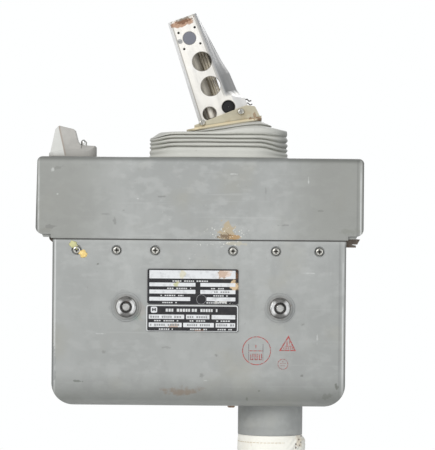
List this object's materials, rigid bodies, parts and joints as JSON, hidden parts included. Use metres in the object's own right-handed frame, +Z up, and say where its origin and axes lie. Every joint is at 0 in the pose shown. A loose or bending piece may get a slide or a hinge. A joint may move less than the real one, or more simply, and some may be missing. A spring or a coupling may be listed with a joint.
{
  "type": "three-axis hand controller",
  "caption": "Armrest-mounted hand controller: cast grey box, rubber bellows, canted stick frame that tilts and twists, lock lever and a cloth-sleeved cable with a round plug.",
  "frame": {"origin": "middle of the box, at the joint between its upper and lower housing, level with the two dovetail rails that hold it", "axes": "+Z up the stick side, +X along the box away from the lock lever, -Y out of the face with the data plates"},
  "size_m": [0.2, 0.0841, 0.6066],
  "materials": {
    "housing_paint": "worn satin grey enamel",
    "collar_paint": "satin grey enamel",
    "lever_paint": "worn warm grey enamel",
    "black_rubber": "matt",
    "grey_rubber": "satin moulded rubber",
    "black_plate": "black etched foil",
    "steel": "plain",
    "dark_steel": "oiled",
    "rusty_steel": "rusty",
    "gold_chromate": "chromate conversion coat",
    "bare_aluminium": "polished and machined",
    "machined_aluminium": "machined",
    "bronze": "plain bearing bronze",
    "sensor_case": "moulded",
    "grey_plastic": "moulded",
    "black_plastic": "moulded",
    "board": "glass epoxy board",
    "wire_insulation": "insulated wire",
    "cream_cloth": "woven cloth sleeve",
    "plug_metal": "olive anodised",
    "gold_pins": "gold plated"
  },
  "bodies": {
    "root": {"bellows_base_ring": "grey_rubber", "bellows_middle": "grey_rubber", "bellows_outer": "grey_rubber", "board_standoffs": "steel", "bottom_screw": "rusty_steel", "cable": "cream_cloth", "cable_collar": "collar_paint", "cable_sleeve": "cream_cloth", "collar_nut": "steel", "data_plate_lower": "black_plate", "data_plate_upper": "black_plate", "dovetail_left": "dark_steel", "dovetail_right": "dark_steel", "frame_spacers": "steel", "frame_studs": "steel", "housing_gasket": "black_rubber", "housing_screws_back": "steel", "housing_screws_front": "steel", "lock_bar_guide": "machined_aluminium", "lower_housing": "housing_paint", "pitch_sensor_stator": "sensor_case", "plug_backshell": "plug_metal", "plug_pins": "gold_pins", "plug_shell": "plug_metal", "snap_switches": "black_plastic", "stop_plate": "machined_aluminium", "stud_nuts": "steel", "stud_washers": "steel", "support_plate_back": "machined_aluminium", "support_plate_front": "machined_aluminium", "terminal_board": "board", "trunnion_bearings": "bronze", "upper_housing": "housing_paint"},
    "pitch_gimbal": {"pitch_gimbal_ring": "machined_aluminium", "pitch_sensor_rotor": "steel", "roll_sensor_stator": "sensor_case", "bellows_inner": "grey_rubber"},
    "roll_gimbal": {"roll_gimbal_hub": "machined_aluminium", "gimbal_column": "machined_aluminium", "twist_housing": "machined_aluminium", "twist_sensor_stator": "sensor_case", "roll_sensor_rotor": "steel", "twist_bushes": "bronze", "twist_centring_spring": "steel", "bellows_neck": "grey_rubber"},
    "stick": {"stick_frame": "bare_aluminium", "stick_base_bracket": "gold_chromate", "bracket_screws": "steel", "grip_boss": "grey_plastic", "slot_screw": "steel", "wire_conduit": "steel", "grip_wires": "wire_insulation", "twist_shaft": "steel", "twist_sensor_rotor": "steel", "bellows_cap": "gold_chromate"},
    "lock": {"lock_lever": "lever_paint", "lock_lever_screw": "steel", "lock_shaft": "steel"},
    "lock_slide": {"lock_bar": "steel"},
    "plug_ring": {"plug_coupling_ring": "plug_metal"}
  },
  "joints": [
    {"name": "stick_pitch", "type": "hinge", "parent": "root", "child": "pitch_gimbal", "pos_m": [0.029, 0, 0.032], "axis": [0, 1, 0], "range_deg": [-11.5, 11.5], "stiffness_Nm_per_rad": 3, "deforming": ["bellows_middle"]},
    {"name": "stick_roll", "type": "hinge", "parent": "pitch_gimbal", "child": "roll_gimbal", "pos_m": [0.029, 0, 0.032], "axis": [0.9397, 0, 0.342], "range_deg": [-11.5, 11.5], "stiffness_Nm_per_rad": 3, "deforming": ["bellows_inner"]},
    {"name": "stick_twist", "type": "hinge", "parent": "roll_gimbal", "child": "stick", "pos_m": [0.029, 0, 0.032], "axis": [-0.342, 0, 0.9397], "range_deg": [-11.5, 11.5], "stiffness_Nm_per_rad": 1, "deforming": ["bellows_neck", "twist_centring_spring"]},
    {"name": "lock_lever_turn", "type": "hinge", "parent": "root", "child": "lock", "pos_m": [-0.0725, -0.012, 0.05], "axis": [0, 0, -1], "range_deg": [0, 50]},
    {"name": "lock_bar_slide", "type": "slide", "parent": "root", "child": "lock_slide", "axis": [1, 0, 0], "range_m": [0, 0.0078]},
    {"name": "coupling_ring_turn", "type": "hinge", "parent": "root", "child": "plug_ring", "pos_m": [0.056, 0.006, -0.45], "axis": [0, 0, 1], "range_deg": [0, 120]}
  ],
  "couplings": [
    {"joint": "lock_bar_slide", "follows": "lock_lever_turn", "m_per_rad": 0.00878}
  ]
}
